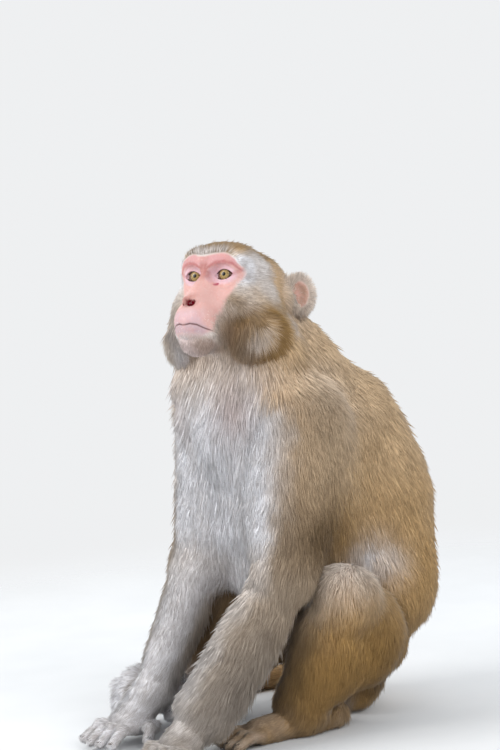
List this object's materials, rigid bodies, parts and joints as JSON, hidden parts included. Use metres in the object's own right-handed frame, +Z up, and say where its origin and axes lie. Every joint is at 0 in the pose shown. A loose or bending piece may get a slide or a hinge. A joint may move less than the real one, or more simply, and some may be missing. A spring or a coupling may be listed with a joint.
{
  "type": "seated rhesus macaque model",
  "caption": "Still, life-size model of a rhesus macaque sitting on its haunches with both hands on the ground and its head turned and lifted.",
  "frame": {"origin": "middle of the flat that the haunches rest on, at floor level", "axes": "+Z up, the animal faces -Y, +X towards its left side"},
  "size_m": [0.2837, 0.4042, 0.4939],
  "materials": {
    "coat": "short dense fur, golden brown with grey-beige limbs and a pale front",
    "skin": "bare soft skin, pink face, greyish hands and feet, pinkish ears",
    "eye": "wet polished eye, amber iris with a round black pupil",
    "nail": "smooth dark horn"
  },
  "bodies": {
    "root": {"trunk": "coat", "eye_left": "eye", "eye_right": "eye", "head": "coat", "ear_left": "skin", "ear_right": "skin", "neck": "coat", "upper_arm_left": "coat", "forearm_left": "coat", "hand_left": "skin", "upper_arm_right": "coat", "forearm_right": "coat", "hand_right": "skin", "thigh_left": "coat", "shank_left": "coat", "foot_left": "skin", "thigh_right": "coat", "shank_right": "coat", "foot_right": "skin", "tail_root": "coat", "tail_middle": "coat", "tail_tip": "coat"}
  },
  "joints": []
}
